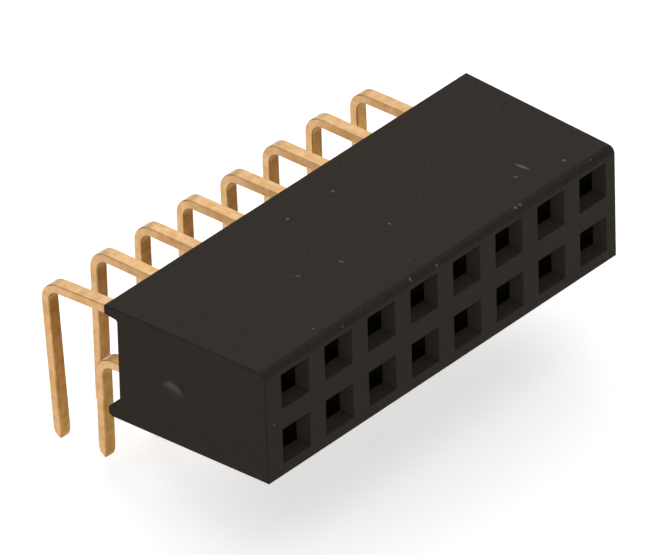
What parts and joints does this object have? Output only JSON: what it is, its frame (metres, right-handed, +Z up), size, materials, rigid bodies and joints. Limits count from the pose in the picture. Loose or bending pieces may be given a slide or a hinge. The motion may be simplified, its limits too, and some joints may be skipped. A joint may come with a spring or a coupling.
{
  "type": "right-angle pin socket connector",
  "caption": "Right-angle, double-row pin socket for a circuit board: a black moulded block with square openings in its mating face and bent, gold-plated solder tails behind.",
  "frame": {"origin": "on the underside that rests on the circuit board, midway between the first and last columns and midway between the mating face and the back wall", "axes": "+X along the rows, -Y out of the mating face, +Z up from the board"},
  "size_m": [0.0216, 0.013, 0.0093],
  "materials": {
    "housing": "black glass-filled thermoplastic, satin as moulded",
    "contact": "stamped phosphor bronze, thin satin gold plating"
  },
  "bodies": {
    "root": {"housing": "housing", "contact_lower_1": "contact", "contact_lower_2": "contact", "contact_lower_3": "contact", "contact_lower_4": "contact", "contact_lower_5": "contact", "contact_lower_6": "contact", "contact_lower_7": "contact", "contact_lower_8": "contact", "contact_upper_1": "contact", "contact_upper_2": "contact", "contact_upper_3": "contact", "contact_upper_4": "contact", "contact_upper_5": "contact", "contact_upper_6": "contact", "contact_upper_7": "contact", "contact_upper_8": "contact"}
  },
  "joints": []
}
